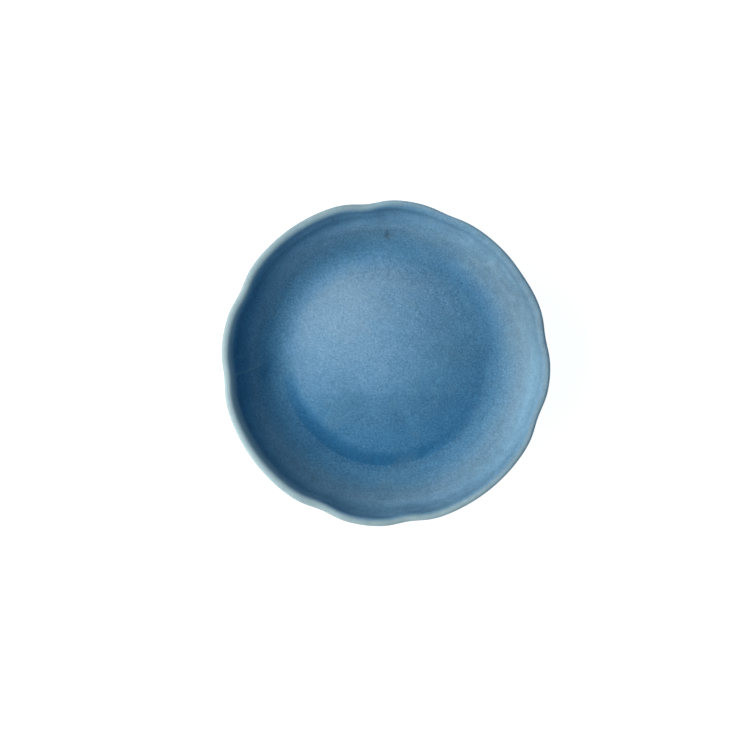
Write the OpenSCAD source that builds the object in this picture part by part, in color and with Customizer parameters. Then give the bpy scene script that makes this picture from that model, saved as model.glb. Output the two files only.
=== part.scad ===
// A small round sauce dish: a pressed clay shell with a notched, petalled rim, a luted foot
// ring, and a coat of glaze over all of it but the foot's contact edge.
// The origin is the centre of the foot's contact face. +Z is up, out of the well.

/* [Dish] */
// Diameter of the rim between its notches, over the glaze
dish_d = 100; // [88:1:120]
// Overall height, from the table to the top of the lip
dish_h = 20; // [17:0.5:26]

/* [Floor] */
// Diameter of the floor, out to the groove where the wall starts
floor_d = 64; // [56:1:72]
// Thickness of the clay floor at its edge
floor_t = 3.2; // [2.4:0.1:5]
// Rise of the floor's middle above its edge
floor_rise = 1.3; // [0.4:0.1:2.2]

/* [Wall] */
// Thickness of the clay wall
wall_t = 2.8; // [2:0.1:4]
// Slope of the wall where it leaves the floor, in degrees
wall_slope = 7; // [3:1:20]
// Length of the straight start of the wall
wall_start_l = 9; // [6:0.5:12]
// Slope of the turned-up part below the lip, in degrees
lip_slope = 80; // [64:1:86]
// Length of the turned-up part below the lip
upturn_l = 6.6; // [3.5:0.1:8]
// Thickness of the clay lip, outside its crest and inside it
lip_t = 2.1; // [1.4:0.1:2.6]
// Radius of the lip's outer rounding; the rest of its thickness rounds off the inner side
lip_outer_r = 0.6; // [0.4:0.1:1]

/* [Rim] */
// How far the deepest notch pulls the lip in
notch_depth = 1.1; // [0.3:0.1:2]
// How far the deepest notch lowers the lip
notch_dip = 0.5; // [0:0.1:1]
// Angle from the middle of a notch to where it is down to a third of its depth
notch_reach = 6.5; // [4:0.5:9]
// How far the creases of the notches run in from the lip
crease_l = 11; // [8:1:16]
// How much the rim is oval, either way from the round
oval = 0.24; // [0:0.02:0.6]
// How much the rim is three-cornered, either way from the round
tricorn = 0.12; // [0:0.02:0.4]

/* [Foot ring] */
// Outer diameter of the foot ring where it stands on the table
foot_d = 53; // [46:1:58]
// Height of the foot ring
foot_h = 3.4; // [2.6:0.1:5]
// Width of the foot ring where it stands on the table
foot_w = 2.6; // [2:0.1:4]
// How much the ring widens to its top, on each side
foot_flare = 0.6; // [0.2:0.1:1.2]
// Rounding of the two contact edges
foot_round = 0.5; // [0.2:0.1:0.8]

/* [Glaze] */
// Thickness of the glaze on the floor and the wall
inner_glaze_t = 0.5; // [0.3:0.05:0.8]
// Extra glaze that has pooled in the groove round the floor
pool_t = 0.3; // [0:0.05:0.5]
// Half width of the pooled band
pool_w = 2.5; // [1.5:0.1:4]
// Thickness of the glaze on the lip, where it runs thin
lip_glaze_t = 0.25; // [0.15:0.05:0.4]
// Thickness of the glaze on the outside, the foot and the base
outer_glaze_t = 0.4; // [0.25:0.05:0.6]
// Height of the bare clay above the table
bare_h = 1.2; // [0.9:0.1:2]

/* [Hidden] */

// Middle of each notch, anticlockwise from +X, and its depth beside the deepest one
notch_angles = [9, 33, 67, 96.5, 154, 185, 246.5, 278.5, 340.5];
notch_shares = [0.72, 0.2, 0.56, 1, 0.8, 0.7, 0.9, 0.9, 0.82];
// Directions in which the oval and the three-cornered rim are widest
oval_angle = -17;
tricorn_angle = -3;

// Places along the floor where its surface is drawn, and how flat the dome is in the middle
floor_shares = [0, 0.45, 0.7, 0.86, 0.95, 1];
floor_flatness = 2.2;
// Steps along the wall, up to the lip's crest and down from it, and across a wide and a narrow petal
wall_steps = 9;
lip_inner_steps = 3;
lip_outer_steps = 3;
wide_steps = 16;
narrow_steps = 8;
wide_petal = 45;
// Steps down from the lip's rounding to where its thin coat ends, and steps over which the
// outer coat then grows to its full thickness
seam_steps = 1;
thinning_steps = 3;

// Bare margin between the foot's top and the start of the outer wall
foot_margin = 0.8;
// Gap where the flat-sided outer coat meets the round coat of the foot
seam_gap = 0.06;
// Thickness at which the glaze on the foot runs out
glaze_edge_t = 0.15;
round_steps = 6;
$fn = 128;

// The foot, seen in half section
foot_top_r = foot_d / 2 + foot_flare;
foot_inner_r = foot_d / 2 - foot_w;
foot_inner_top_r = foot_inner_r - foot_flare;
wall_foot_r = foot_top_r + outer_glaze_t + foot_margin;

// The lip is rounded widely up to its crest, then narrowly down its outer side
lip_inner_r = lip_t - lip_outer_r;
crest = [dish_d / 2 - lip_glaze_t - lip_outer_r, dish_h - lip_glaze_t];
inner_round = crest - [0, lip_inner_r];
outer_round = crest - [0, lip_outer_r];

function heading(slope) = [cos(slope), sin(slope)];
function clayward(slope) = [sin(slope), -cos(slope)];
function unit(v) = v / norm(v);
function total(v, i = 0) = i < len(v) ? v[i] + total(v, i + 1) : 0;
function smooth(x) = let (c = min(max(x, 0), 1)) c * c * (3 - 2 * c);
function bezier(p, t) =
    pow(1 - t, 3) * p[0] + 3 * pow(1 - t, 2) * t * p[1] + 3 * (1 - t) * t * t * p[2] + pow(t, 3) * p[3];

// Clay surface inside and outside: each runs from the floor to an end of the lip's rounding
floor_edge = [floor_d / 2, foot_h + floor_t];
inner_end = inner_round - lip_inner_r * clayward(lip_slope);
outer_end = outer_round + lip_outer_r * clayward(lip_slope);
inner_bend = inner_end - upturn_l * heading(lip_slope);
inner_start = floor_edge + wall_start_l * heading(wall_slope);
inner_curve = [floor_edge, inner_start, inner_bend, inner_end];
outer_curve = [
    [wall_foot_r, foot_h],
    inner_start + wall_t * clayward(wall_slope),
    inner_bend + wall_t * clayward(lip_slope),
    outer_end
];

// The whole clay surface from the middle of the floor, over the lip, to the foot
floor_line = [
    for (s = floor_shares) [s * floor_edge[0], floor_edge[1] + floor_rise * (1 - pow(s, floor_flatness))]
];
inner_wall = [for (i = [1 : wall_steps]) bezier(inner_curve, i / wall_steps)];
function lip_up(i) = 90 + lip_slope * (1 - i / lip_inner_steps);
function lip_down(i) = 90 - (180 - lip_slope) * i / lip_outer_steps;
lip_line = concat(
    [for (i = [1 : lip_inner_steps]) inner_round + lip_inner_r * heading(lip_up(i))],
    [for (i = [1 : lip_outer_steps]) outer_round + lip_outer_r * heading(lip_down(i))]
);
outer_wall = [for (i = [1 : wall_steps]) bezier(outer_curve, 1 - i / wall_steps)];
clay_line = concat(floor_line, inner_wall, lip_line, outer_wall);

// Stations of that surface where one coat of glaze ends and the next starts
last = len(clay_line) - 1;
lip_start = len(floor_line) - 1 + wall_steps;
inner_seam = lip_start - seam_steps;
outer_seam = lip_start + lip_inner_steps + lip_outer_steps + seam_steps;

// Thickness of the glaze at a station: pooled in the groove, thin on the lip
function pooled(r) = pool_t * exp(-pow((r - floor_edge[0]) / pool_w, 2));
function upturned(r) = smooth((r - inner_bend[0]) / (clay_line[inner_seam][0] - inner_bend[0]));
function inner_coat(r) = inner_glaze_t + (lip_glaze_t - inner_glaze_t) * upturned(r) + pooled(r);
function outer_coat(i) =
    let (thin = smooth((outer_seam + thinning_steps - i) / thinning_steps))
        outer_glaze_t + (lip_glaze_t - outer_glaze_t) * thin;
function coat(i) =
    i <= inner_seam ? inner_coat(clay_line[i][0]) : i <= outer_seam ? lip_glaze_t : outer_coat(i);
function along(i) = unit(clay_line[i + 1] - clay_line[i - 1]);
function facing(i) = i == 0 ? [0, 1] : i == last ? [0, -1] : [-along(i)[1], along(i)[0]];
glaze_line = [for (i = [0 : last]) clay_line[i] + coat(i) * facing(i)];

// Angles round the dish, a little closer together at the notches
function next_notch(i) = i + 1 < len(notch_angles) ? notch_angles[i + 1] : notch_angles[0] + 360;
function petal_steps(width) = width > wide_petal ? wide_steps : narrow_steps;
function spread(x) = (x + (1 - cos(180 * x)) / 2) / 2;
angles = [
    for (i = [0 : len(notch_angles) - 1])
        let (start = notch_angles[i], width = next_notch(i) - start, steps = petal_steps(width))
            for (j = [0 : steps - 1]) start + width * spread(j / steps)
];

// How far the rim is drawn in at an angle
function apart(a, b) = abs((a - b + 540) % 360 - 180);
function notch(a, i) = notch_shares[i] * exp(-pow(apart(a, notch_angles[i]) / notch_reach, 2));
function notched(a) = total([for (i = [0 : len(notch_angles) - 1]) notch(a, i)]);
function swell(a) = oval * cos(2 * (a - oval_angle)) + tricorn * cos(3 * (a - tricorn_angle));
pulls = [for (a = angles) notched(a)];
swells = [for (a = angles) swell(a)];
// 0 on the floor, rising to 1 at the lip
function creased(r) = smooth((r - crest[0] + crease_l) / crease_l);

// A point of the half section, turned to angle number i and drawn in by the notches
function placed(p, i) =
    let (c = creased(p[0]), r = p[0] + c * (swells[i] - notch_depth * pulls[i]))
        [r * cos(angles[i]), r * sin(angles[i]), p[1] - c * notch_dip * pulls[i]];

// Two triangles between profile points j and k and angles i and n. Both sides of a shared
// surface split it along the same diagonal, so that the clay and the glaze meet face to face.
function before(p, q) = p[0] < q[0] || (p[0] == q[0] && p[1] < q[1]);
function quad(line, i, n, j, k) =
    let (m = len(line), a = i * m + j, b = i * m + k, c = n * m + k, d = n * m + j)
        before(line[j], line[k]) ? [[a, b, c], [a, c, d]] : [[a, b, d], [b, c, d]];

// Sweeps a half section round the axis. It runs clockwise, and may start and end on the axis.
module petalled(line) {
    m = len(line);
    n = len(angles);
    on_axis = line[0][0] == 0;
    points = [for (i = [0 : n - 1]) for (p = line) placed(p, i)];
    faces = [
        for (i = [0 : n - 1])
            let (next = (i + 1) % n)
                for (j = [0 : m - (on_axis ? 2 : 1)])
                    let (k = (j + 1) % m)
                        if (line[j][0] == 0) [j, i * m + k, next * m + k]
                        else if (line[k][0] == 0) [i * m + j, k, next * m + j]
                        else each quad(line, i, next, j, k)
    ];
    polyhedron(points, faces);
}

function stretch(line, from, to) = [for (i = [from : to]) line[i]];
function backwards(line) = [for (i = [len(line) - 1 : -1 : 0]) line[i]];
function skin(from, to) = concat(stretch(glaze_line, from, to), backwards(stretch(clay_line, from, to)));

module clay_body() {
    color("#cfc4b2") petalled(concat(clay_line, [[0, foot_h]]));
}

module inner_glaze() {
    color("#4f82ab") petalled(skin(0, inner_seam));
}

module lip_glaze() {
    color("#9db7b5") petalled(skin(inner_seam, outer_seam));
}

module outer_glaze() {
    color("#45749a") petalled(skin(outer_seam, last));
}

// Radius of the foot ring's two sides at a height
function foot_side(z) = foot_d / 2 + foot_flare * z / foot_h;
function foot_inner_side(z) = foot_inner_r - foot_flare * z / foot_h;

// Quarter round from one heading to another, about a centre
function rounding(centre, r, from, to) = [
    for (i = [0 : round_steps]) centre + r * heading(from + (to - from) * i / round_steps)
];

module foot_ring() {
    color("#c9bda9") rotate_extrude()
        polygon(concat(
            rounding([foot_inner_side(foot_round) + foot_round, foot_round], foot_round, 180, 270),
            rounding([foot_side(foot_round) - foot_round, foot_round], foot_round, 270, 360),
            [[foot_top_r, foot_h], [foot_inner_top_r, foot_h]]
        ));
}

module foot_glaze() {
    color("#45749a") rotate_extrude()
        polygon([
            [foot_side(bare_h), bare_h],
            [foot_side(bare_h) + glaze_edge_t, bare_h],
            [foot_side(foot_h - outer_glaze_t) + outer_glaze_t, foot_h - outer_glaze_t],
            [wall_foot_r - seam_gap, foot_h - outer_glaze_t],
            [wall_foot_r - seam_gap, foot_h],
            [foot_top_r, foot_h]
        ]);
}

module base_glaze() {
    color("#45749a") rotate_extrude()
        polygon([
            [0, foot_h - outer_glaze_t],
            [foot_inner_side(foot_h - outer_glaze_t) - outer_glaze_t, foot_h - outer_glaze_t],
            [foot_inner_side(bare_h) - glaze_edge_t, bare_h],
            [foot_inner_side(bare_h), bare_h],
            [foot_inner_top_r, foot_h],
            [0, foot_h]
        ]);
}

clay_body();
foot_ring();
inner_glaze();
lip_glaze();
outer_glaze();
foot_glaze();
base_glaze();
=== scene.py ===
"""A round sauce dish with a notched rim: its glaze coats and the clay under them as fine meshes
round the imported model, with their finishes, the stage, the lights and the camera."""
import math

import bpy
import numpy as np
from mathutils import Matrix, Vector


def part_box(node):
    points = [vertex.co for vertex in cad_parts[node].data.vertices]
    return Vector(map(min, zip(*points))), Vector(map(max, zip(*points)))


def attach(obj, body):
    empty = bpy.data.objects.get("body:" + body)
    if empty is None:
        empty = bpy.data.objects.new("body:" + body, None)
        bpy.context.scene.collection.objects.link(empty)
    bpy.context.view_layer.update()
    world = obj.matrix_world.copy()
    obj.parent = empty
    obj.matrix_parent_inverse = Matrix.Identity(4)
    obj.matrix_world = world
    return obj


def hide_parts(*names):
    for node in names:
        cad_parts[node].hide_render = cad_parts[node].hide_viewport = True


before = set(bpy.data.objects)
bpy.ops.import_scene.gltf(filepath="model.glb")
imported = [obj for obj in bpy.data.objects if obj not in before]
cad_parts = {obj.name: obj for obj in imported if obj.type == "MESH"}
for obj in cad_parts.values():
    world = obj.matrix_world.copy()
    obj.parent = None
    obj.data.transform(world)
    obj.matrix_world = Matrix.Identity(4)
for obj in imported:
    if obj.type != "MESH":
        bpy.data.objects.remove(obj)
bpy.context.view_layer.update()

MM = 0.001
NEAR_AXIS = 1e-9
NO_AREA = 1e-15
BODY = "root"

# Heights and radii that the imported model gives
DISH_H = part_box("lip_glaze")[1].z
FOOT_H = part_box("foot_ring")[1].z
FOOT_TOP_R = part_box("foot_ring")[1].x

# Sizes of the dish, as the model has them
DISH_R = 50 * MM
FLOOR_R = 32 * MM
FLOOR_T = 3.2 * MM
FLOOR_RISE = 1.3 * MM
FLOOR_FLATNESS = 2.2
WALL_T = 2.8 * MM
WALL_SLOPE = 7
WALL_START_L = 9 * MM
LIP_SLOPE = 80
UPTURN_L = 6.6 * MM
LIP_T = 2.1 * MM
LIP_OUTER_R = 0.6 * MM
NOTCH_DEPTH = 1.1 * MM
NOTCH_DIP = 0.5 * MM
NOTCH_REACH = 6.5
CREASE_L = 11 * MM
OVAL = 0.24 * MM
TRICORN = 0.12 * MM
NOTCH_ANGLES = (9, 33, 67, 96.5, 154, 185, 246.5, 278.5, 340.5)
NOTCH_SHARES = (0.72, 0.2, 0.56, 1, 0.8, 0.7, 0.9, 0.9, 0.82)
OVAL_ANGLE = -17
TRICORN_ANGLE = -3
FOOT_W = 2.6 * MM
FOOT_FLARE = 0.6 * MM
FOOT_ROUND = 0.5 * MM
FOOT_MARGIN = 0.8 * MM
BARE_H = 1.2 * MM
INNER_GLAZE_T = 0.5 * MM
POOL_T = 0.3 * MM
POOL_W = 2.5 * MM
LIP_GLAZE_T = 0.25 * MM
OUTER_GLAZE_T = 0.4 * MM
GLAZE_EDGE_T = 0.15 * MM
SEAM_GAP = 0.02 * MM
GROOVE_W = 3 * MM
GROOVE_PASSES = 6
ROLL_R = 0.14 * MM
FILLET_R = 0.45 * MM
WAVE = 0.07 * MM
WAVE_H = 0.8 * MM
WIPED_H = 0.5 * MM

# Fineness of the meshes: angles round the dish, rings along each stretch of the section, and
# steps along the foot's rounds, beads and sides. The back of a coat, which lies against the
# clay, has one ring for every few of its front.
AROUND = 384
FLOOR_RINGS = 44
WALL_RINGS = 45
LIP_INNER_RINGS = 12
LIP_OUTER_RINGS = 8
OUTSIDE_RINGS = 36
BACK_STEP = 4
ROUND_STEPS = 8
BEAD_STEPS = 5
SIDE_STEPS = 6
BASE_STEPS = 24

# The model's rings along the wall. Its coats meet one of them below the lip, inside and outside.
MODEL_RINGS = 9


def rise(x, start, length):
    """0 up to the start, 1 from a length further on, and an even rise between."""
    c = np.clip((x - start) / length, 0, 1)
    return c * c * (3 - 2 * c)


def bell(x, middle, width):
    """1 in the middle, fading out over the width on either side."""
    return np.exp(-(((x - middle) / width) ** 2))


def heading(degrees):
    """The unit vector at an angle above the level, in the half section."""
    a = np.radians(degrees)
    return np.array([np.cos(a), np.sin(a)])


def clayward(degrees):
    """The unit vector from a face into the clay, where the face rises at an angle."""
    a = np.radians(degrees)
    return np.array([np.sin(a), -np.cos(a)])


def bezier(points, steps):
    """Points of a cubic curve after its first, in steps."""
    p0, p1, p2, p3 = (np.array(p, float) for p in points)
    t = np.linspace(0, 1, steps + 1)[1:, None]
    return (1 - t) ** 3 * p0 + 3 * (1 - t) ** 2 * t * p1 + 3 * (1 - t) * t * t * p2 + t**3 * p3


# The clay's half section: the floor, the wall, over the lip, and down the outside to the foot
foot_r = FOOT_TOP_R - FOOT_FLARE
foot_inner_r = foot_r - FOOT_W
wall_foot_r = FOOT_TOP_R + OUTER_GLAZE_T + FOOT_MARGIN
crest = np.array([DISH_R - LIP_GLAZE_T - LIP_OUTER_R, DISH_H - LIP_GLAZE_T])
lip_inner_r = LIP_T - LIP_OUTER_R
inner_round = crest - (0, lip_inner_r)
outer_round = crest - (0, LIP_OUTER_R)
inner_end = inner_round - lip_inner_r * clayward(LIP_SLOPE)
outer_end = outer_round + LIP_OUTER_R * clayward(LIP_SLOPE)
floor_edge = np.array([FLOOR_R, FOOT_H + FLOOR_T])
inner_bend = inner_end - UPTURN_L * heading(LIP_SLOPE)
inner_start = floor_edge + WALL_START_L * heading(WALL_SLOPE)
wall_foot = np.array([wall_foot_r, FOOT_H])
outer_low = inner_start + WALL_T * clayward(WALL_SLOPE)
outer_high = inner_bend + WALL_T * clayward(LIP_SLOPE)


def floor_line():
    s = np.linspace(0, 1, FLOOR_RINGS + 1)
    return np.column_stack([s * FLOOR_R, floor_edge[1] + FLOOR_RISE * (1 - s**FLOOR_FLATNESS)])


def lip_line():
    """A wide round up to the crest, then a narrow one down its outer side."""
    up = LIP_SLOPE * (1 - np.arange(1, LIP_INNER_RINGS + 1) / LIP_INNER_RINGS)
    down = (180 - LIP_SLOPE) * np.arange(1, LIP_OUTER_RINGS + 1) / LIP_OUTER_RINGS
    inner = [inner_round + lip_inner_r * heading(90 + a) for a in up]
    return np.array(inner + [outer_round + LIP_OUTER_R * heading(90 - a) for a in down])


inner_wall = bezier([floor_edge, inner_start, inner_bend, inner_end], WALL_RINGS)
outer_wall = bezier([outer_end, outer_high, outer_low, wall_foot], OUTSIDE_RINGS)
clay_line = np.vstack([floor_line(), inner_wall, lip_line(), outer_wall])
LAST = len(clay_line) - 1
lip_start = FLOOR_RINGS + WALL_RINGS
crest_station = lip_start + LIP_INNER_RINGS
lip_stop = crest_station + LIP_OUTER_RINGS
inner_seam = lip_start - WALL_RINGS // MODEL_RINGS
outer_seam = lip_stop + OUTSIDE_RINGS // MODEL_RINGS
STATIONS = np.arange(LAST + 1)
BY_STATION = STATIONS[:, None]
THINNING_RINGS = OUTSIDE_RINGS // 3


def facing(line):
    """Unit normals of a half section that runs clockwise, on its glaze side."""
    along = np.gradient(line, axis=0)
    out = np.column_stack([-along[:, 1], along[:, 0]])
    out /= np.linalg.norm(out, axis=1)[:, None]
    out[0] = (0, 1)
    return out


def coat_thickness(line):
    """Pooled in the groove round the floor, thin on the lip, full on the outside."""
    r = line[:, 0]
    thin = rise(r, inner_bend[0], line[inner_seam][0] - inner_bend[0])
    inner = INNER_GLAZE_T + (LIP_GLAZE_T - INNER_GLAZE_T) * thin
    inner += POOL_T * bell(r, FLOOR_R, POOL_W)
    full = rise(STATIONS, outer_seam, THINNING_RINGS)
    outer = LIP_GLAZE_T + (OUTER_GLAZE_T - LIP_GLAZE_T) * full
    return np.where(STATIONS <= inner_seam, inner, outer)


def rounded_groove(line):
    """Rounds the section off round the floor's edge, as a glaze rounds a crease."""
    line = line.copy()
    weight = bell(line[:, 0], FLOOR_R, GROOVE_W)
    weight[lip_start:] = 0
    for _ in range(GROOVE_PASSES):
        mean = line.copy()
        mean[1:-1] = (line[:-2] + 2 * line[1:-1] + line[2:]) / 4
        line += weight[:, None] * (mean - line)
    return line


glaze_line = rounded_groove(clay_line + coat_thickness(clay_line)[:, None] * facing(clay_line))
glaze_line[LAST] = wall_foot - (0, OUTER_GLAZE_T)

angles = np.arange(AROUND) * 360 / AROUND


def apart(a, b):
    """The angle between two headings, in degrees."""
    return np.abs((a - b + 540) % 360 - 180)


def notched(a):
    """1 in the middle of the deepest notch, 0 where a petal is round."""
    depth = np.zeros_like(a, dtype=float)
    for angle, share in zip(NOTCH_ANGLES, NOTCH_SHARES):
        depth += share * bell(apart(a, angle), 0, NOTCH_REACH)
    return depth


pulls = notched(angles)
swells = OVAL * np.cos(2 * np.radians(angles - OVAL_ANGLE))
swells = swells + TRICORN * np.cos(3 * np.radians(angles - TRICORN_ANGLE))


def turned(line):
    """A half section turned round the axis: points[station][angle]."""
    a = np.radians(angles)
    r, z = line[:, :1], line[:, 1:]
    return np.stack([r * np.cos(a), r * np.sin(a), z + 0 * a], axis=2)


def placed(line):
    """A half section turned round the axis and drawn in by the notches."""
    a = np.radians(angles)
    r0, z0 = line[:, :1], line[:, 1:]
    c = rise(r0, crest[0] - CREASE_L, CREASE_L)
    r = r0 + c * (swells - NOTCH_DEPTH * pulls)
    z = z0 - c * NOTCH_DIP * pulls
    return np.stack([r * np.cos(a), r * np.sin(a), z + 0 * r], axis=2)


def grid_normals(points):
    """Unit normals of a grid of points[station][angle], on its outer side."""
    down = np.gradient(points, axis=0)
    around = np.roll(points, -1, axis=1) - np.roll(points, 1, axis=1)
    out = np.cross(down, around)
    size = np.linalg.norm(out, axis=2, keepdims=True)
    out = out / np.where(size > 0, size, 1)
    out[size[:, :, 0] < NO_AREA] = (0, 0, 1)
    return out


def ring_faces(upper, lower):
    """Faces between two rings of vertex numbers; a ring of one number is a point on the axis."""
    n = max(len(upper), len(lower))
    if n == 1:
        return
    for i in range(n):
        k = (i + 1) % n
        if len(upper) == 1:
            yield upper[0], lower[i], lower[k]
        elif len(lower) == 1:
            yield upper[i], lower[0], upper[k]
        else:
            yield upper[i], lower[i], lower[k], upper[k]


def swept(name, grid, shown, normals, marks):
    """A closed mesh through rings of points[station][angle]. It starts and ends on the axis, or
    else the last ring joins the first. The first rings, shown of them, take the given normals
    and marks; the rest lie against the clay."""
    points, rows, values = [], [], {key: [] for key in marks}
    for s, ring in enumerate(grid):
        pole = np.linalg.norm(ring[0][:2]) < NEAR_AXIS
        kept = ring[:1] if pole else ring
        rows.append(range(len(points), len(points) + len(kept)))
        points.extend(kept)
        for key, mark in marks.items():
            values[key].extend(mark[min(s, shown - 1)][: len(kept)])
    if len(rows[0]) > 1:
        rows.append(rows[0])
    faces, smooth_faces = [], 0
    for s, (upper, lower) in enumerate(zip(rows, rows[1:])):
        faces.extend(ring_faces(upper, lower))
        if s == shown - 2:
            smooth_faces = len(faces)
    mesh = bpy.data.meshes.new(name)
    mesh.from_pydata([tuple(p) for p in points], [], faces)
    mesh.polygons.foreach_set("use_smooth", [True] * len(faces))
    for key in marks:
        mesh.attributes.new(key, "FLOAT", "POINT").data.foreach_set("value", values[key])
    flat = [n for s in range(shown) for n in normals[s][: len(rows[s])]]
    split = []
    for polygon in mesh.polygons:
        for v in polygon.vertices:
            split.append(tuple(flat[v]) if polygon.index < smooth_faces else tuple(polygon.normal))
    mesh.normals_split_custom_set(split)
    piece = bpy.data.objects.new(name, mesh)
    bpy.context.scene.collection.objects.link(piece)
    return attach(piece, BODY)


# How deep the glaze lies, as its colour shows it: 0 in the middle of the floor, 1 where it is
# deep, below 0 where it is pale. Across the floor it is paler towards the upper left, where the
# light falls, and deeper towards the lower right. This lean is partly painted light and shade, and
# partly glaze that leans to that side and pools there.
LEAN_AND_SHADE = 1.1
LEAN_AND_SHADE_ANGLE = 301
LEAN_AND_SHADE_R = 30 * MM
TIDE = 0.13
TIDE_Y = 9 * MM
TIDE_W = 1.2 * MM
POOL_ANGLE = 250
POOL_SPREAD = 62
POOL_RISE = 3.6 * MM
BAND_W = 0.9 * MM
LIP_W = 1.4 * MM
OUTSIDE_DEPTH = 0.35
OUTSIDE_RUN = 0.5
FOOT_DEPTH = 0.7
MILK_LOSS = 0.8

# The side of the rim where the glaze has stayed on the lip: its middle, and the cosine of the
# angle from there at which the cover starts, and how much more makes it full
COVERED_ANGLE = 12
COVER = (-0.35, 1.1)

# Where something begins or ends on the way outwards: its start, and how far it takes. The pool's
# end is counted in rings of the mesh.
FLOOR_END = (28 * MM, 6 * MM)
TIDE_END = (24 * MM, 4 * MM)
WALL_SHADE_START = (31 * MM, 3 * MM)
WALL_START = (34 * MM, 9 * MM)
MILK_START = (36 * MM, 5 * MM)
MILK_END = (46.5 * MM, 1.5 * MM)
POOL_END = (FLOOR_RINGS + 12, 6)

# Steps of depth from the middle outwards: their start and length in millimetres, and the amount
PROFILE = ((0, 28, 0.4), (26, 5, 0.25), (36, 7, -0.5))

# What varies round the dish: its value, what the covered side adds to it, and the places that add
# to it, each with its angle and spread in degrees and what it adds. Radii and widths are in
# millimetres. The band is a deep line under the lip, where the glaze gathers, and partly painted
# shade: it is deeper on the shaded left side than on the covered side. The thin glaze begins
# outside it.
BAND = (0.5, -0.25, ((22, 35, -0.2), (47, 14, -0.2)))
BAND_R = (45.8, 1.1, ((50, 22, 1.7),))
# Painted shade: the wall is painted deeper at two sides, where it lies less lit
WALL_SHADE_DEPTH = (0, 0, ((40, 45, 0.4), (235, 40, 0.25)))
POOL_R = (26.5, 0, ((228, 25, -1.5),))
THIN_R = (46.1, 1.5, ((80, 30, 0.4), (122, 25, -0.2), (207, 35, -0.6), (266, 28, 0.6)))
THIN_W = (2.2, -0.6, ((122, 25, 1), (262, 22, 0.8)))
THIN_MOST = (1, -0.6, ((122, 25, -0.2), (262, 22, -0.07), (318, 35, 0.2)))
RINGS = (0, 0, ((100, 62, 1), (285, 60, 1), (322, 25, 0.5)))
LIP_TONE = (0, 0.02, ((50, 20, 0.1),))
# Painted light: the lip's outer side, turned from the light, is lighter on the covered side
OUTER_LIP_PAINTED_LIGHT = (0, 0.3, ((165, 45, -0.2), (325, 22, -0.13)))

# The haze on the wall is partly painted sheen. It has gaps, the widest on the shaded left side,
# each with its angle, its spread and the share that is gone, and places with more, the most on the
# lit right side, each with its angle, its spread, its start and length in millimetres, and the
# amount. The milky cloud has one place.
HAZE_AND_SHEEN_GAPS = ((178, 50, 1), (95, 40, 0.45))
HAZE_AND_SHEEN_MORE = ((220, 28, 39, 4, 0.25), (15, 45, 40, 5, 0.55))
MILK_PLACE = (45, 28)

# Patches where iron warms the glaze, where it lies deeper or shallower, and where it is lighter
# or darker. The depth and tone patches are partly the glaze's own unevenness and partly painted
# light and shade: the floor's edge paler and lighter towards the light, the shaded left wall
# deeper, and the left lip's shaded inner side lighter. In each row are the angle and spread in
# degrees, the radius and half width in millimetres, and the amount.
RUST = ((195, 45, 47.3, 1.2, 1), (190, 45, 41.5, 2, 0.25))
# Depth patches, partly painted shade: deeper on the shaded left wall, paler where the light falls
RUNS_LIGHT_AND_SHADE = (
    (45, 40, 35, 2.5, -0.1),
    (50, 26, 46.5, 3, -0.32),
    (72, 40, 33.5, 2.2, -0.12),
    (90, 25, 28.5, 2.5, 0.13),
    (90, 35, 40, 3, 0.16),
    (90, 45, 43, 1.6, -0.2),
    (120, 20, 32, 1.5, -0.1),
    (130, 50, 18, 9, -0.2),
    (145, 50, 33, 3.5, -0.4),
    (176.5, 3, 34.4, 1.2, 0.3),
    (179, 4, 38.5, 1.3, -0.3),
    (180, 45, 33, 4, 0.25),
    (180, 25, 38.5, 2, 0.42),
    (180, 35, 41.5, 1.6, -0.15),
    (180.5, 3, 36, 1.2, 0.35),
    (185, 3, 37.6, 1.2, 0.3),
    (187, 35, 44.3, 2, 0.7),
    (210, 60, 4, 5, -0.1),
    (212, 25, 29.5, 2, 0.3),
    (212, 30, 43.5, 2.5, -0.25),
    (235, 35, 26, 4, 0.17),
    (238, 45, 32, 2, 0.4),
    (240, 40, 17, 8, 0.12),
    (270, 65, 17, 9, -0.06),
    (270, 45, 42.8, 1.6, -0.15),
    (288, 35, 20, 5, -0.1),
    (302, 20, 31, 2, -0.12),
    (312, 40, 26, 4.5, -0.13),
)
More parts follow.
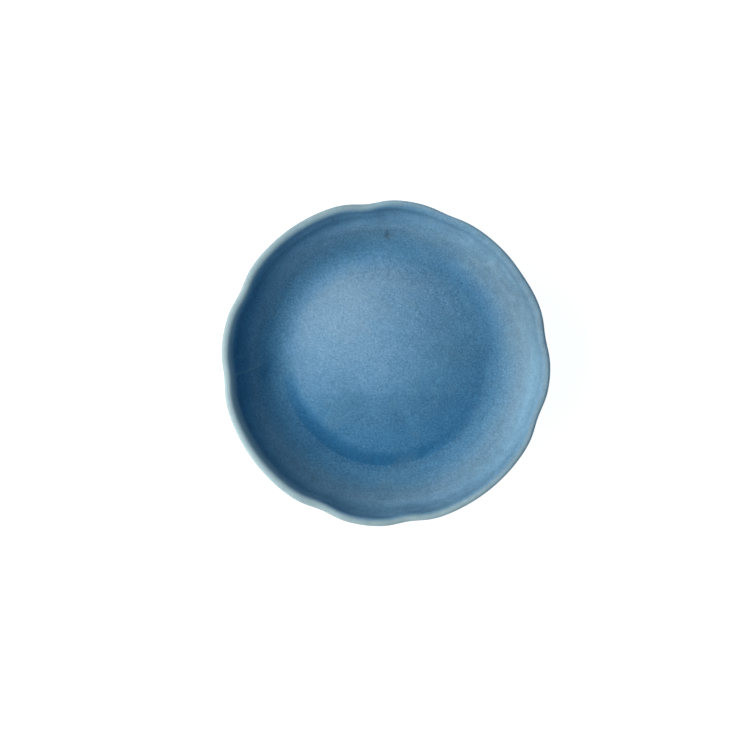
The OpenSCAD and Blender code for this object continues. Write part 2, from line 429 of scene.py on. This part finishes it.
# Tone patches, partly painted light and shade: the left lip's shaded inner side is painted lighter
TONES_LIGHT_AND_SHADE = (
    (0, 300, 33.5, 4, -0.02),
    (0, 40, 41, 4, -0.05),
    (10, 30, 21, 5, -0.035),
    (15, 30, 31.5, 2.5, -0.04),
    (20, 14, 45, 3, -0.04),
    (22, 22, 46.7, 2.5, -0.13),
    (30, 45, 14, 9, -0.06),
    (32, 25, 43.5, 3.5, -0.15),
    (38, 40, 35, 3, 0.07),
    (45, 45, 25, 11, -0.12),
    (50, 16, 46, 1.6, 0.08),
    (60, 20, 30.5, 2, -0.05),
    (72, 40, 33.5, 2.2, -0.035),
    (75, 35, 28, 3, -0.1),
    (75, 40, 41.2, 2.5, -0.07),
    (80, 35, 10.5, 4.5, 0.045),
    (90, 35, 44.3, 1.8, 0.1),
    (92, 20, 41, 3, -0.06),
    (115, 25, 33.5, 2.5, 0.12),
    (120, 22, 33, 2, 0.07),
    (125, 60, 16, 9, 0.04),
    (130, 45, 44, 3, 0.1),
    (138, 34, 47.1, 0.9, 0.15),
    (152, 22, 36, 3, 0.08),
    (165, 55, 23, 7, 0.16),
    (170, 50, 30, 3.5, 0.16),
    (172, 35, 43.5, 3.5, 0.04),
    (185, 14, 24.5, 3.5, -0.04),
    (185, 40, 35, 4, 0.05),
    (190, 60, 8, 5, 0.05),
    (195, 55, 48.1, 1.1, 0.8),
    (205, 20, 45, 2.2, 0.08),
    (210, 10, 28.2, 1.6, 0.1),
    (212, 35, 42, 5, 0.04),
    (222, 40, 25.5, 3, 0.07),
    (224, 16, 25, 3.5, 0.06),
    (226, 22, 47.3, 1, 0.18),
    (240, 30, 44, 3, -0.05),
    (262, 18, 24.5, 3, 0.05),
    (275, 30, 23, 4, 0.05),
    (275, 35, 44.3, 1.2, 0.17),
    (280, 10, 31.6, 1.8, -0.09),
    (290, 50, 27, 5, 0.12),
    (300, 80, 41.2, 2.5, -0.09),
    (316, 12, 30.8, 1.8, -0.07),
    (335, 35, 45.5, 2.5, 0.05),
    (355, 26, 45.5, 2, 0.16),
)


def covered():
    """1 on the side of the rim where the glaze has stayed on the lip, 0 where it has run off."""
    return rise(np.cos(np.radians(angles - COVERED_ANGLE)), *COVER)


def near(angle, spread):
    """1 at an angle of the dish, fading out over the spread on either side."""
    return bell(apart(angles, angle), 0, spread)


def varied(value, on_covered, places):
    """A value at each angle, with what the covered side and some places add to it."""
    added = sum(amount * near(angle, spread) for angle, spread, amount in places)
    return value + on_covered * covered() + added


def patches(line, places):
    """The sum of soft-edged patches at points[station][angle]."""
    total = np.zeros((len(line), AROUND))
    for angle, spread, radius, width, amount in places:
        total += amount * near(angle, spread) * bell(line[:, :1], radius * MM, width * MM)
    return total


def depths(line):
    """The depth of the glaze's colour at points[station][angle]."""
    r = line[:, :1]
    inside = patches(line, RUNS_LIGHT_AND_SHADE)
    for begin, length, amount in PROFILE:
        inside += amount * rise(r, begin * MM, length * MM)
    inside += varied(*BAND) * bell(r, varied(*BAND_R) * MM, BAND_W)
    # Painted shade on the wall at two sides
    inside += varied(*WALL_SHADE_DEPTH) * rise(r, *WALL_SHADE_START)
    on_floor = 1 - rise(r, *FLOOR_END)
    # Partly painted light and shade: the floor is paler towards the light and deeper away from it
    inside += LEAN_AND_SHADE * on_floor * np.cos(np.radians(angles - LEAN_AND_SHADE_ANGLE)) * r / LEAN_AND_SHADE_R
    lower = rise(-r * np.sin(np.radians(angles)), TIDE_Y, TIDE_W)
    inside += TIDE * lower * on_floor * (1 - rise(r, *TIDE_END))
    outside = OUTSIDE_DEPTH + OUTSIDE_RUN * rise(BY_STATION, outer_seam, OUTSIDE_RINGS)
    return np.where(BY_STATION <= lip_start, inside, outside)


def pools(line):
    """Where the glaze has run together on the lower side of the floor."""
    inner = rise(line[:, :1], varied(*POOL_R) * MM, POOL_RISE)
    side = np.exp(-((apart(angles, POOL_ANGLE) / POOL_SPREAD) ** 4))
    return inner * side * (1 - rise(BY_STATION, *POOL_END))


def thinness(line):
    """How thin the glaze has run over the lip: 0 on the wall, about 1 where it has run off."""
    inside = rise(line[:, :1], varied(*THIN_R) * MM, varied(*THIN_W) * MM)
    outside = 1 - rise(BY_STATION, lip_stop, THINNING_RINGS)
    return np.where(BY_STATION <= crest_station, inside, outside) * varied(*THIN_MOST)


def haze_and_sheen_map(line):
    """The wall is hazier than the floor, and its haze is partly painted sheen: gone on the shaded
    side and thickest on the lit side.
    """
    r = line[:, :1]
    haze_and_sheen = rise(r, *WALL_START)
    for angle, spread, share in HAZE_AND_SHEEN_GAPS:
        haze_and_sheen = haze_and_sheen * (1 - share * near(angle, spread))
    for angle, spread, begin, length, amount in HAZE_AND_SHEEN_MORE:
        haze_and_sheen = haze_and_sheen + amount * rise(r, begin * MM, length * MM) * near(angle, spread)
    return haze_and_sheen


def ringed(line):
    """Where the turning has left rings in the wall."""
    return rise(line[:, :1], *WALL_START) * varied(*RINGS)


def milkiness(line):
    """Where thin glaze has clouded on the wall."""
    r = line[:, :1]
    return rise(r, *MILK_START) * (1 - MILK_LOSS * rise(r, *MILK_END)) * near(*MILK_PLACE)


def rustiness(line):
    """Where the body's iron warms the glaze: at the edge of the thin lip, and faintly below it."""
    return np.where(BY_STATION <= crest_station, patches(line, RUST), 0)


def tone_light_and_shade(line):
    """How much lighter than usual the glaze is. Its patches are partly painted light and shade,
    and on the covered side the lip's outer side, which faces away from the light, is painted
    lighter.
    """
    over = rise(BY_STATION, crest_station - 3, LIP_OUTER_RINGS)
    on_lip = bell(line[:, :1], crest[0], LIP_W)
    return patches(line, TONES_LIGHT_AND_SHADE) + on_lip * (varied(*LIP_TONE) + over * varied(*OUTER_LIP_PAINTED_LIGHT))


front = placed(glaze_line)
front_normals = grid_normals(front)
back = placed(clay_line)
marks = {
    "depth": depths(glaze_line),
    "pool": pools(glaze_line),
    "thin": thinness(glaze_line),
    "haze_and_sheen": haze_and_sheen_map(glaze_line),
    "rings": ringed(glaze_line),
    "milk": milkiness(glaze_line),
    "rust": rustiness(glaze_line),
    "tone": tone_light_and_shade(glaze_line),
}


def coat(name, node, start, stop):
    """A coat of glaze over the clay from one station to another."""
    backs = sorted({*range(start, stop, BACK_STEP), stop})[::-1]
    grid = np.concatenate([front[start : stop + 1], back[backs]])
    chosen = {key: mark[start : stop + 1] for key, mark in marks.items()}
    piece = swept(name, grid, stop + 1 - start, front_normals[start : stop + 1], chosen)
    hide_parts(node)
    return piece


def foot_side(z):
    """The radius of the foot ring's outer side at a height."""
    return foot_r + FOOT_FLARE * z / FOOT_H


def foot_inner_side(z):
    """The radius of the foot ring's inner side at a height."""
    return foot_inner_r - FOOT_FLARE * z / FOOT_H


def arc(centre, r, start, stop, steps):
    """Points round a centre, from one heading to another."""
    return [np.array(centre) + r * heading(a) for a in np.linspace(start, stop, steps)]


def straight(a, b, steps):
    """Points between a and b, without b."""
    a, b = np.array(a), np.array(b)
    return [a + (b - a) * t for t in np.linspace(0, 1, steps + 1)[:-1]]


def foot_piece(name, node, line, shown, thin=0.0, wavy=0.0, turn=0):
    """A piece of the foot, from its half section, with its wiped edge a little wavy."""
    line = np.array(line)
    grid = turned(line)
    a = np.radians(angles + turn)
    wave = np.sin(3 * a + 1) + 0.7 * np.sin(5 * a) + 0.5 * np.sin(11 * a + 2)
    low = np.clip(1 - (line[:, 1] - BARE_H) / WAVE_H, 0, 1)
    grid[:, :, 2] += wavy * low[:, None] * wave
    normals = grid_normals(grid)
    normals[line[:, 0] == 0] = (0, 0, -1)
    shape = (len(line), AROUND)
    plain = dict.fromkeys(marks, np.zeros(shape))
    plain["depth"] = np.full(shape, FOOT_DEPTH)
    plain["thin"] = np.zeros(shape) + np.reshape(thin, (-1, 1))
    piece = swept(name, grid, shown, normals, plain)
    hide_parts(node)
    return piece


def edge_thinness(line):
    """The glaze on the foot is palest where it was wiped off."""
    return 1 - rise(np.array(line)[:, 1], BARE_H, WIPED_H)


def foot_coat():
    """The coat from the wall down the foot's outer side, to a rolled edge."""
    low = np.array([foot_side(BARE_H), BARE_H])
    bead = low + (GLAZE_EDGE_T, ROLL_R)
    top = FOOT_H - OUTER_GLAZE_T
    corner = np.array([foot_side(top) + OUTER_GLAZE_T, top])
    seam = np.array([wall_foot_r - SEAM_GAP, top])
    out = [seam]
    out += arc(corner + (FILLET_R, -FILLET_R), FILLET_R, 90, 180, ROUND_STEPS)
    out += straight(corner - (0, FILLET_R), bead, SIDE_STEPS)[1:]
    out += arc(bead - (ROLL_R, 0), ROLL_R, 0, -90, BEAD_STEPS)
    shown = len(out)
    out += [low, (FOOT_TOP_R, FOOT_H), (wall_foot_r - SEAM_GAP, FOOT_H)]
    thin = edge_thinness(out)
    return foot_piece("foot_coat", "foot_glaze", out, shown, thin, WAVE)


def base_coat():
    """The coat up the foot's inner side and over the base to the axis."""
    low = np.array([foot_inner_side(BARE_H), BARE_H])
    bead = low + (-GLAZE_EDGE_T, ROLL_R)
    top = FOOT_H - OUTER_GLAZE_T
    corner = np.array([foot_inner_side(top) - OUTER_GLAZE_T, top])
    out = arc(bead + (ROLL_R, 0), ROLL_R, 270, 180, BEAD_STEPS)
    out += straight(bead, corner - (0, FILLET_R), SIDE_STEPS)[1:]
    out += arc(corner - (FILLET_R, FILLET_R), FILLET_R, 0, 90, ROUND_STEPS)
    out += straight(corner - (FILLET_R, 0), (0, top), BASE_STEPS)[1:]
    out += [(0, top)]
    shown = len(out)
    out += [(0, FOOT_H), (foot_inner_side(FOOT_H), FOOT_H), low]
    thin = edge_thinness(out)
    return foot_piece("base_coat", "base_glaze", out, shown, thin, WAVE, 40)


def foot_clay():
    """The foot ring, rounded at its contact edges."""
    high = FOOT_H * 0.9
    outer = (foot_side(FOOT_ROUND), FOOT_ROUND)
    inner = (foot_inner_side(FOOT_ROUND), FOOT_ROUND)
    inner_top = (foot_inner_side(FOOT_H), FOOT_H)
    outer_centre = (outer[0] - FOOT_ROUND, FOOT_ROUND)
    inner_centre = (inner[0] + FOOT_ROUND, FOOT_ROUND)
    line = [(FOOT_TOP_R, FOOT_H)]
    line += straight((foot_side(high), high), outer, SIDE_STEPS)
    line += arc(outer_centre, FOOT_ROUND, 0, -90, ROUND_STEPS)
    line += straight((outer_centre[0], 0), (inner_centre[0], 0), SIDE_STEPS)[1:]
    line += arc(inner_centre, FOOT_ROUND, 270, 180, ROUND_STEPS)
    line += straight(inner, inner_top, SIDE_STEPS)[1:]
    line += [inner_top]
    return foot_piece("foot_clay", "foot_ring", line, len(line))


def clay_shell():
    """The clay under the glaze."""
    line = np.vstack([clay_line[:-1:2], clay_line[-1:], [(0, FOOT_H)]])
    grid = placed(line)
    piece = swept("clay_shell", grid, len(line) - 1, grid_normals(grid), {})
    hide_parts("clay_body")
    return piece


well_coat = coat("well_coat", "inner_glaze", 0, inner_seam)
lip_coat = coat("lip_coat", "lip_glaze", inner_seam, outer_seam)
wall_coat = coat("wall_coat", "outer_glaze", outer_seam, LAST)
foot_skin = foot_coat()
base_skin = base_coat()
ring_clay = foot_clay()
shell_clay = clay_shell()


# Finishes
class Nodes:
    """Short ways to add shader nodes to one material."""

    def __init__(self, name):
        self.material = bpy.data.materials.new(name)
        self.material.use_nodes = True
        self.tree = self.material.node_tree
        self.shader = self.tree.nodes["Principled BSDF"]

    def add(self, kind, settings=None, **inputs):
        node = self.tree.nodes.new(kind)
        for key, value in (settings or {}).items():
            setattr(node, key, value)
        for key, value in inputs.items():
            self.put(node.inputs[key.replace("_", " ")], value)
        return node

    def put(self, socket, value):
        if isinstance(value, bpy.types.NodeSocket):
            self.tree.links.new(value, socket)
        else:
            socket.default_value = value

    def math(self, operation, a, b=0.0, clamp=False):
        node = self.add("ShaderNodeMath", {"operation": operation, "use_clamp": clamp})
        self.put(node.inputs[0], a)
        self.put(node.inputs[1], b)
        return node.outputs[0]

    def plus(self, *values):
        total = values[0]
        for value in values[1:]:
            total = self.math("ADD", total, value)
        return total

    def times(self, a, b):
        return self.math("MULTIPLY", a, b)

    def rest(self, value):
        """What is left of 1."""
        return self.math("SUBTRACT", 1.0, value)

    def distance(self, x, y):
        return self.math("SQRT", self.plus(self.times(x, x), self.times(y, y)))

    def step(self, value, low, high):
        """0 at low, 1 at high, smooth between."""
        node = self.add("ShaderNodeMapRange", {"interpolation_type": "SMOOTHSTEP"}, Value=value)
        self.put(node.inputs["From Min"], low)
        self.put(node.inputs["From Max"], high)
        return node.outputs["Result"]

    def mix(self, factor, a, b):
        node = self.add("ShaderNodeMix", {"data_type": "RGBA"}, Factor=factor)
        self.put(node.inputs[6], a)
        self.put(node.inputs[7], b)
        return node.outputs[2]

    def tint(self, colour, by, amount):
        """A colour times another, channel by channel, and times an amount."""
        tinted = self.add("ShaderNodeVectorMath", {"operation": "MULTIPLY"})
        self.put(tinted.inputs[0], colour)
        self.put(tinted.inputs[1], by)
        scaled = self.add("ShaderNodeVectorMath", {"operation": "SCALE"}, Scale=amount)
        self.put(scaled.inputs[0], tinted.outputs["Vector"])
        return scaled.outputs["Vector"]

    def ramp(self, factor, stops):
        node = self.add("ShaderNodeValToRGB", Fac=factor)
        elements = node.color_ramp.elements
        elements.remove(elements[1])
        for i, (place, colour) in enumerate(stops):
            element = elements.new(place) if i else elements[0]
            element.position = place
            element.color = (*colour, 1)
        return node.outputs["Color"]

    def place(self):
        return self.add("ShaderNodeTexCoord").outputs["Object"]

    def mark(self, name):
        return self.add("ShaderNodeAttribute", {"attribute_name": name}).outputs["Fac"]

    def noise(self, where, size, detail=2.0, rough=0.5):
        """Noise from about -0.5 to 0.5, with features about size long."""
        node = self.add(
            "ShaderNodeTexNoise", Vector=where, Scale=1 / size, Detail=detail, Roughness=rough
        )
        return self.math("SUBTRACT", node.outputs["Fac"], 0.5)

    def finish(self, colour, rough, specular, height, distance):
        """The material, with its relief given as a height over a distance."""
        relief = self.add("ShaderNodeBump", Height=height, Distance=distance, Strength=1.0)
        self.put(self.shader.inputs["Base Color"], colour)
        self.put(self.shader.inputs["Roughness"], rough)
        self.put(self.shader.inputs["Specular IOR Level"], specular)
        self.put(self.shader.inputs["Normal"], relief.outputs["Normal"])
        return self.material


# Colours of the glaze by the depth at which it shows them
PALEST = -1.5
DEEPEST = 2.8
BLUES = (
    (PALEST, (0.33, 0.45, 0.52)),
    (-0.7, (0.225, 0.37, 0.495)),
    (0.0, (0.13, 0.288, 0.45)),
    (0.6, (0.074, 0.222, 0.365)),
    (1.2, (0.037, 0.156, 0.29)),
    (2.0, (0.01, 0.096, 0.203)),
    (DEEPEST, (0.001, 0.066, 0.153)),
)
LIP_COLOUR = (0.34, 0.44, 0.45, 1)
HAZE_AND_SHEEN_COLOUR = (0.20, 0.27, 0.29, 1)
MILK_COLOUR = (0.27, 0.42, 0.47, 1)
GREEN_COLOUR = (0.17, 0.28, 0.31, 1)
IRON_COLOUR = (0.035, 0.05, 0.055, 1)
NO_TINT = (1, 1, 1, 1)
RUST_TINT = (1.05, 0.78, 0.76, 1)
STONEWARE = (
    (0.0, (0.30, 0.24, 0.18)),
    (0.5, (0.50, 0.43, 0.34)),
    (1.0, (0.64, 0.58, 0.49)),
)
CLAY_IRON_COLOUR = (0.14, 0.08, 0.05, 1)

# How much of a colour shows where there is most of it
HAZE_AND_SHEEN_SHARE = 0.3
GREEN_SHARE = 0.17
MILK_SHARE = 0.3
SPECK_SHARE = 0.55
HAIR_SHARE = 0.23
CLAY_IRON_SHARE = 0.6

# How far each sort of unevenness shifts the depth of the glaze's colour
DUST_SHIFT = 1.1
CLOUD_SHIFT = 0.5
BLOTCH_SHIFT = 0.5
STREAK_SHIFT = 0.25
RING_SHIFT = 1.2
POOL_SHIFT = 0.95
POOL_TONE = 0.36

# How rough and how shiny the surfaces are, and how high their relief stands
GLAZE_ROUGH, GLAZE_SHINE, GLAZE_RELIEF = 0.64, 0.42, 0.06 * MM
CLAY_ROUGH, CLAY_SHINE, CLAY_RELIEF = 0.9, 0.3, 0.08 * MM

# How long the features of each sort are in the glaze and the clay
GRAIN = 0.65 * MM
MOTTLE = 2.4 * MM
MILK = 4 * MM
CLOUD = 6 * MM
BLOTCH = 14 * MM
GRIT = 0.35 * MM
CLAY_CLOUD = 4 * MM
CLAY_IRON = 0.8 * MM
TURNING = 1.6 * MM

# Marks in the well: where its pool ends, an iron speck, and fine lines, each with its angle in
# degrees, its start, stop and half width in millimetres, and its bend
SHORE, SHORE_W = 31.3 * MM, 0.7 * MM
SPECK_X, SPECK_Y = 0.6 * MM, 39.5 * MM
SPECK_ACROSS, SPECK_ALONG = 1.25, 0.62
HAIRLINES = ((184.2, 37.5, 47.5, 0.5, 33), (177.6, 42.5, 46.5, 0.6, -10))


def polar(m, where):
    """The distance from the axis, and a place that runs on round the dish."""
    parts = m.add("ShaderNodeSeparateXYZ", Vector=where)
    x, y = parts.outputs["X"], parts.outputs["Y"]
    r = m.distance(x, y)
    far = m.math("MAXIMUM", r, 0.1 * MM)
    rings = m.add("ShaderNodeCombineXYZ")
    m.put(rings.inputs["X"], m.times(r, 1 / TURNING))
    m.put(rings.inputs["Y"], m.times(m.math("DIVIDE", x, far), 2.2))
    m.put(rings.inputs["Z"], m.times(m.math("DIVIDE", y, far), 2.2))
    return x, y, r, rings.outputs["Vector"]


def line_mask(m, x, y, angle, start, stop, half_width, bend):
    """A fine line on the wall along a direction from the axis, bent towards its inner end."""
    a = math.radians(angle)
    along = m.plus(m.times(x, math.cos(a)), m.times(y, math.sin(a)))
    across = m.plus(m.times(y, math.cos(a)), m.times(x, -math.sin(a)))
    before_stop = m.plus(along, -stop * MM)
    across = m.math("ABSOLUTE", m.plus(across, m.times(m.times(before_stop, before_stop), bend)))
    beside = m.rest(m.step(across, half_width * 0.3 * MM, half_width * MM))
    begun = m.step(along, start * MM, (start + 3) * MM)
    unended = m.rest(m.step(along, (stop - 2) * MM, stop * MM))
    return m.times(beside, m.times(begun, unended))


def speck_mask(m, where, x, y):
    """A ragged speck, longer up the wall than across it."""
    dx = m.times(m.plus(x, -SPECK_X), SPECK_ACROSS)
    dy = m.times(m.plus(y, -SPECK_Y), SPECK_ALONG)
    ragged = m.times(m.noise(where, 0.6 * MM, 2.0, 0.6), 3.2 * MM)
    return m.rest(m.step(m.plus(m.distance(dx, dy), ragged), 0.2 * MM, 1.5 * MM))


def glaze(name, well=False):
    """Semi-matt cobalt glaze: deep where it lies thick, hazy where thin, grainy all over. Its haze
    is partly painted sheen, and its depth and tone are partly painted light and shade.
    """
    m = Nodes(name)
    where = m.place()
    x, y, r, rings = polar(m, where)
    grain = m.noise(where, GRAIN, 2.0, 0.6)
    fine = m.noise(where, GRAIN * 0.7, 1.0, 0.5)
    cloud = m.noise(where, CLOUD, 3.0, 0.6)
    blotch = m.noise(where, BLOTCH, 2.0, 0.5)
    streak = m.noise(rings, 1.0, 2.0, 0.5)

    even = m.plus(m.times(m.mark("thin"), -0.7), m.times(m.mark("haze_and_sheen"), -0.2), 1.0)
    dust = m.times(m.plus(m.times(grain, 0.65), m.times(fine, 0.6)), even)
    streak_share = m.plus(m.times(m.mark("rings"), RING_SHIFT), STREAK_SHIFT)
    depth = m.plus(m.mark("depth"), m.times(dust, DUST_SHIFT), m.times(cloud, CLOUD_SHIFT))
    depth = m.plus(depth, m.times(blotch, BLOTCH_SHIFT), m.times(streak, streak_share))
    mottle_share = m.plus(m.times(m.mark("haze_and_sheen"), 0.15), 0.15)
    mottle = m.times(m.noise(where, MOTTLE, 1.0, 0.5), mottle_share)
    tone = m.plus(m.mark("tone"), m.times(dust, -0.8), mottle, 1.0)
    if well:
        shore = m.plus(r, m.times(blotch, 1.2 * MM), m.times(cloud, 0.5 * MM))
        pooled = m.times(m.mark("pool"), m.rest(m.step(shore, SHORE, SHORE + SHORE_W)))
        depth = m.plus(depth, m.times(pooled, POOL_SHIFT))
        tone = m.plus(tone, m.times(pooled, POOL_TONE))

    place = m.math("DIVIDE", m.plus(depth, -PALEST), DEEPEST - PALEST, clamp=True)
    colour = m.ramp(place, [((d - PALEST) / (DEEPEST - PALEST), blue) for d, blue in BLUES])
    # Haze, partly painted sheen on the lit side of the wall
    colour = m.mix(m.times(m.mark("haze_and_sheen"), HAZE_AND_SHEEN_SHARE), colour, HAZE_AND_SHEEN_COLOUR)
    thin = m.plus(m.mark("thin"), m.times(cloud, 0.35), m.times(grain, 0.12))
    colour = m.mix(m.step(thin, 0.1, 1.0), colour, LIP_COLOUR)
    streaky = m.times(m.times(streak, m.mark("rings")), 0.9)
    green = m.step(m.plus(m.noise(where, BLOTCH * 0.8, 2.0, 0.6), streaky), 0.02, 0.3)
    colour = m.mix(m.times(green, GREEN_SHARE), colour, GREEN_COLOUR)
    milk = m.step(m.noise(where, MILK, 2.0, 0.5), -0.02, 0.22)
    colour = m.mix(m.times(m.times(milk, m.mark("milk")), MILK_SHARE), colour, MILK_COLOUR)
    colour = m.tint(colour, m.mix(m.mark("rust"), NO_TINT, RUST_TINT), tone)
    relief = m.plus(m.times(grain, 0.5), m.times(fine, 0.3), m.times(cloud, 1.5))
    if well:
        speck = speck_mask(m, where, x, y)
        colour = m.mix(m.times(speck, SPECK_SHARE), colour, IRON_COLOUR)
        hair = m.math("MAXIMUM", *(line_mask(m, x, y, *line) for line in HAIRLINES))
        colour = m.mix(m.times(hair, HAIR_SHARE), colour, LIP_COLOUR)
        relief = m.plus(relief, m.times(hair, 0.5))
    rough = m.plus(m.times(depth, -0.05), m.times(grain, 0.2), GLAZE_ROUGH)
    return m.finish(colour, rough, GLAZE_SHINE, relief, GLAZE_RELIEF)


def bare_clay(name):
    """Fine pale stoneware, gritty, with the marks of turning."""
    m = Nodes(name)
    where = m.place()
    rings = polar(m, where)[3]
    grit = m.noise(where, GRIT, 3.0, 0.7)
    cloud = m.noise(where, CLAY_CLOUD, 3.0, 0.6)
    turning = m.noise(rings, 0.25, 3.0, 0.6)
    tone = m.plus(m.times(grit, 0.9), m.times(cloud, 0.5), m.times(turning, 0.4), 0.5)
    iron = m.step(m.noise(where, CLAY_IRON, 1.0, 0.5), 0.22, 0.3)
    colour = m.mix(m.times(iron, CLAY_IRON_SHARE), m.ramp(tone, STONEWARE), CLAY_IRON_COLOUR)
    return m.finish(colour, CLAY_ROUGH, CLAY_SHINE, m.plus(grit, turning), CLAY_RELIEF)


well_glaze = glaze("well_glaze", well=True)
outside_glaze = glaze("outside_glaze")
clay = bare_clay("stoneware")
for piece, material in (
    (well_coat, well_glaze),
    (lip_coat, well_glaze),
    (wall_coat, outside_glaze),
    (foot_skin, outside_glaze),
    (base_skin, outside_glaze),
    (ring_clay, clay),
    (shell_clay, clay),
):
    piece.data.materials.append(material)


# Stage: white paper, which glows enough to hide the dish's shadow
WHITE = (1, 1, 1, 1)
PAPER_DARK = (0.25, 0.25, 0.25, 1)
PAPER_LIGHT = (0.27, 0.27, 0.27, 1)
PAPER_SIDE = 6
PAPER_GLOW = 0.95
SKY_BLUE = (0.3, 0.62, 0.88, 1)
SKY_GLOW = 0.3


def paper():
    """Faintly toothed paper."""
    m = Nodes("paper")
    tooth = m.noise(m.place(), 0.6 * MM, 2.0, 0.5)
    shade = m.plus(m.times(tooth, 0.02), 0.5)
    m.put(m.shader.inputs["Base Color"], m.mix(shade, PAPER_DARK, PAPER_LIGHT))
    m.put(m.shader.inputs["Roughness"], 0.95)
    m.put(m.shader.inputs["Emission Color"], WHITE)
    m.put(m.shader.inputs["Emission Strength"], PAPER_GLOW)
    return m.material


bpy.ops.mesh.primitive_plane_add(size=PAPER_SIDE, location=(0, 0, 0))
table = bpy.context.object
table.name = "table"
table.data.materials.append(paper())

# Camera: straight above, where it sees as much as the photograph does
PHOTO_SIDE = 750
PIXEL = 0.304 * MM
LENS = 100
SENSOR = 36
SHIFT_RIGHT, SHIFT_UP = 10.3, 11.9
camera = bpy.data.objects.new("camera", bpy.data.cameras.new("camera"))
bpy.context.scene.collection.objects.link(camera)
camera.data.lens = LENS
camera.data.sensor_width = SENSOR
camera.location = (
    -SHIFT_RIGHT * PIXEL,
    -SHIFT_UP * PIXEL,
    PHOTO_SIDE * PIXEL * LENS / SENSOR + DISH_H,
)
bpy.context.scene.camera = camera


def area_light(name, azimuth, elevation, distance, width, height, power, colour):
    """A rectangular light that faces the dish, its width level."""
    light = bpy.data.lights.new(name, "AREA")
    light.shape = "RECTANGLE"
    light.size = width
    light.size_y = height
    light.energy = power
    light.color = colour
    lamp = bpy.data.objects.new(name, light)
    a, e = math.radians(azimuth), math.radians(elevation)
    way = Vector((math.cos(a) * math.cos(e), math.sin(a) * math.cos(e), math.sin(e)))
    lamp.location = way * distance
    lamp.rotation_mode = "QUATERNION"
    lamp.rotation_quaternion = way.to_track_quat("Z", "Y")
    bpy.context.scene.collection.objects.link(lamp)
    return lamp


area_light(
    "window",
    azimuth=183,
    elevation=36,
    distance=0.9,
    width=1.4,
    height=0.7,
    power=14.8,
    colour=(1.0, 0.99, 0.96),
)


def sky():
    """Dim blue light from all round, white where the camera sees it."""
    world = bpy.data.worlds.new("sky")
    world.use_nodes = True
    tree = world.node_tree
    glow = tree.nodes["Background"]
    glow.inputs["Color"].default_value = SKY_BLUE
    glow.inputs["Strength"].default_value = SKY_GLOW
    plain = tree.nodes.new("ShaderNodeBackground")
    plain.inputs["Color"].default_value = WHITE
    path = tree.nodes.new("ShaderNodeLightPath")
    mix = tree.nodes.new("ShaderNodeMixShader")
    tree.links.new(path.outputs["Is Camera Ray"], mix.inputs["Fac"])
    tree.links.new(glow.outputs["Background"], mix.inputs[1])
    tree.links.new(plain.outputs["Background"], mix.inputs[2])
    tree.links.new(mix.outputs["Shader"], tree.nodes["World Output"].inputs["Surface"])
    return world


bpy.context.scene.world = sky()
bpy.context.scene.view_settings.view_transform = "Standard"
